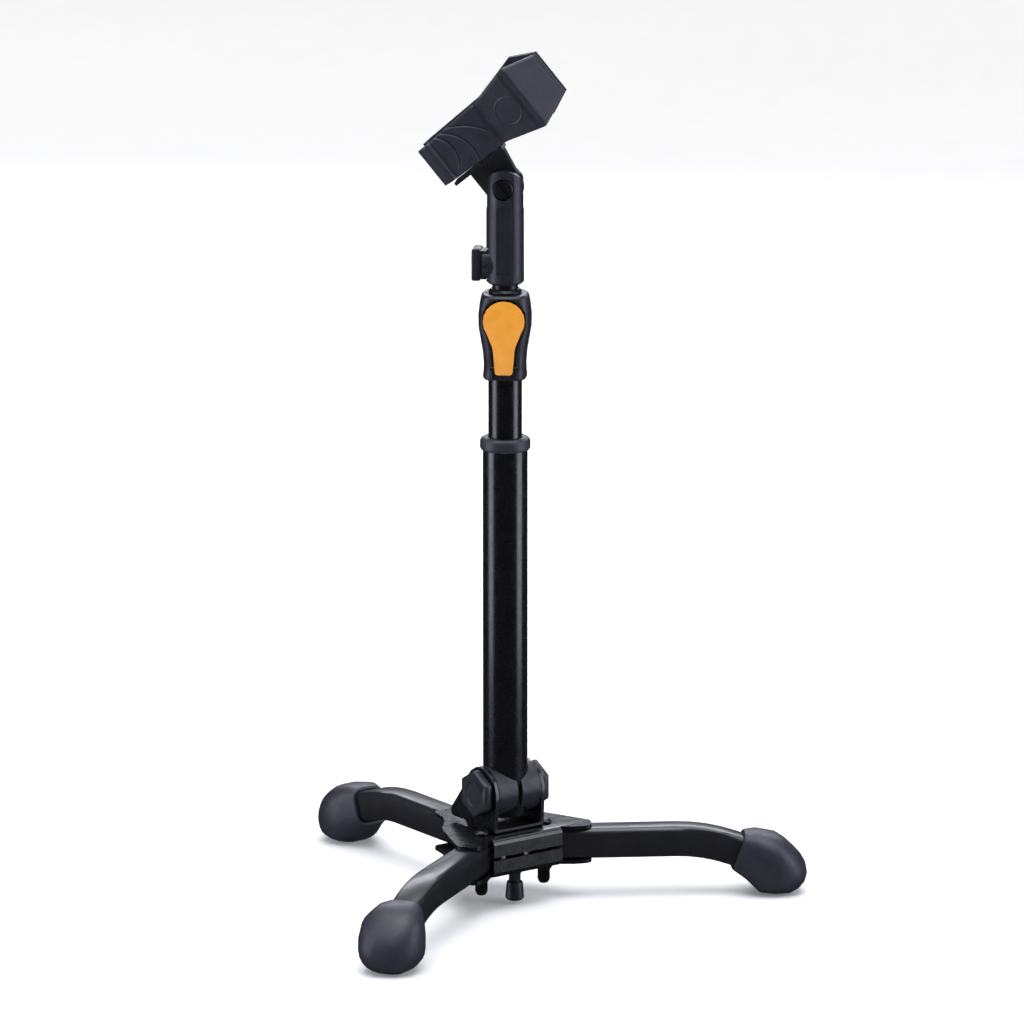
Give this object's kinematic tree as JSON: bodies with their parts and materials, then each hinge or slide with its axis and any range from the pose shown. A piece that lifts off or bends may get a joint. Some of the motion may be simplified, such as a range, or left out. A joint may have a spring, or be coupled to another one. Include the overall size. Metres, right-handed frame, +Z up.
{
  "type": "desktop microphone stand",
  "caption": "Low tabletop microphone stand with folding tube legs, tilting telescopic mast, trigger clutch, quick-release thread adaptor and spring clip.",
  "frame": {"origin": "centre of the outline in plan, on the floor the feet stand on", "axes": "+Z up the mast, +Y towards the rear leg, the folded skirt of the hub faces -Y"},
  "size_m": [0.3074, 0.2699, 0.4914],
  "materials": {
    "gloss_black": "gloss black powder coat",
    "satin_black": "moulded satin black",
    "rubber": "matt black rubber",
    "leg_black": "satin black powder coat",
    "black_zinc": "blackened steel",
    "steel": "plain steel",
    "yellow": "moulded yellow"
  },
  "bodies": {
    "base": {"top_plate": "gloss_black", "bottom_plate": "gloss_black", "yoke": "gloss_black", "yoke_rivet": "black_zinc", "centre_spacer": "black_zinc", "rear_leg": "leg_black", "rear_foot": "rubber", "left_leg_bush": "black_zinc", "right_leg_bush": "black_zinc", "left_leg_bolt": "black_zinc", "right_leg_bolt": "black_zinc", "left_acorn_nut": "gloss_black", "right_acorn_nut": "gloss_black", "rear_leg_bolt_1": "black_zinc", "rear_leg_bolt_2": "black_zinc", "rear_leg_nut_1": "black_zinc", "rear_leg_nut_2": "black_zinc", "tilt_cap": "satin_black", "tilt_nut": "steel"},
    "left_leg": {"left_leg": "leg_black", "left_foot": "rubber"},
    "right_leg": {"right_leg": "leg_black", "right_foot": "rubber"},
    "lock_knob": {"lock_knob": "satin_black"},
    "tilt_knob": {"tilt_knob": "satin_black", "tilt_bolt": "black_zinc"},
    "mast": {"left_saddle": "satin_black", "right_saddle": "satin_black", "outer_tube": "gloss_black", "tube_plug": "rubber", "mast_collar": "rubber"},
    "lock": {"lock_bush": "satin_black"},
    "upper": {"inner_tube": "gloss_black", "spring_seat": "satin_black", "rod_spring": "steel", "housing_front": "satin_black", "housing_rear": "satin_black", "left_housing_screw": "black_zinc", "right_housing_screw": "black_zinc", "trigger_pin": "black_zinc", "mic_stud": "black_zinc", "stud_nut": "black_zinc"},
    "rod": {"push_rod": "steel", "lock_cone": "steel"},
    "trigger": {"trigger": "yellow"},
    "adaptor": {"adaptor_body": "satin_black", "button_pin": "steel", "button_spring": "steel", "fork_screw": "black_zinc", "fork_nut": "steel"},
    "button": {"release_button": "satin_black", "half_nut": "steel"},
    "clip": {"clip_arm": "satin_black", "hinge_pin": "steel", "jaw_spring": "steel"},
    "near_jaw": {"near_jaw": "rubber", "near_jaw_pad": "rubber"},
    "far_jaw": {"far_jaw": "rubber", "far_jaw_pad": "rubber"}
  },
  "joints": [
    {"name": "left_leg_fold", "type": "hinge", "parent": "base", "child": "left_leg", "pos_m": [-0.022, -0.04598, 0.0321], "axis": [0, 0, 1], "range_deg": [-110, 0]},
    {"name": "right_leg_fold", "type": "hinge", "parent": "base", "child": "right_leg", "pos_m": [0.022, -0.04598, 0.0321], "axis": [0, 0, 1], "range_deg": [0, 110]},
    {"name": "lock_knob_turn", "type": "hinge", "parent": "base", "child": "lock_knob", "pos_m": [0, -0.04798, 0.007], "axis": [0, 0, 1], "continuous": true},
    {"name": "tilt_knob_turn", "type": "hinge", "parent": "base", "child": "tilt_knob", "pos_m": [-0.02, -0.03878, 0.0655], "axis": [1, 0, 0], "continuous": true},
    {"name": "mast_tilt", "type": "hinge", "parent": "base", "child": "mast", "pos_m": [0, -0.03878, 0.0655], "axis": [1, 0, 0], "range_deg": [-90, 90]},
    {"name": "mast_slide", "type": "slide", "parent": "mast", "child": "lock", "axis": [0, 0, 1], "range_m": [-0.034, 0.11]},
    {"name": "mast_turn", "type": "hinge", "parent": "lock", "child": "upper", "pos_m": [0, -0.03878, 0.2], "axis": [0, 0, 1], "continuous": true},
    {"name": "trigger_press", "type": "hinge", "parent": "upper", "child": "trigger", "pos_m": [-0.00827, -0.04881, 0.3135], "axis": [-0.7716, 0.6361, 0], "range_deg": [0, 3.8]},
    {"name": "rod_push", "type": "slide", "parent": "upper", "child": "rod", "axis": [0, 0, -1], "range_m": [0, 0.0023], "stiffness_N_per_m": 300, "springref_m": -0.004, "deforming": ["rod_spring"]},
    {"name": "adaptor_turn", "type": "hinge", "parent": "upper", "child": "adaptor", "pos_m": [0, -0.03878, 0.367], "axis": [0, 0, 1], "continuous": true},
    {"name": "release_press", "type": "hinge", "parent": "adaptor", "child": "button", "pos_m": [-0.00731, -0.03196, 0.371], "axis": [0.682, 0.7314, 0], "range_deg": [0, 8], "stiffness_Nm_per_rad": 0.2, "springref_deg": -5.73, "deforming": ["button_spring"]},
    {"name": "clip_tilt", "type": "hinge", "parent": "adaptor", "child": "clip", "pos_m": [0, -0.03878, 0.415], "axis": [0.682, 0.7314, 0], "range_deg": [-46, 114]},
    {"name": "near_jaw_open", "type": "hinge", "parent": "clip", "child": "near_jaw", "pos_m": [0.00341, -0.04196, 0.41878], "axis": [0.4603, -0.4292, -0.7771], "range_deg": [0, 14], "stiffness_Nm_per_rad": 0.4, "springref_deg": -22.92, "deforming": ["jaw_spring"]},
    {"name": "far_jaw_open", "type": "hinge", "parent": "clip", "child": "far_jaw", "pos_m": [0.00341, -0.04196, 0.41878], "axis": [-0.4603, 0.4292, 0.7771], "range_deg": [0, 14]}
  ],
  "couplings": [
    {"joint": "trigger_press", "follows": "rod_push", "rad_per_m": 28.8},
    {"joint": "far_jaw_open", "follows": "near_jaw_open", "ratio": 1}
  ]
}
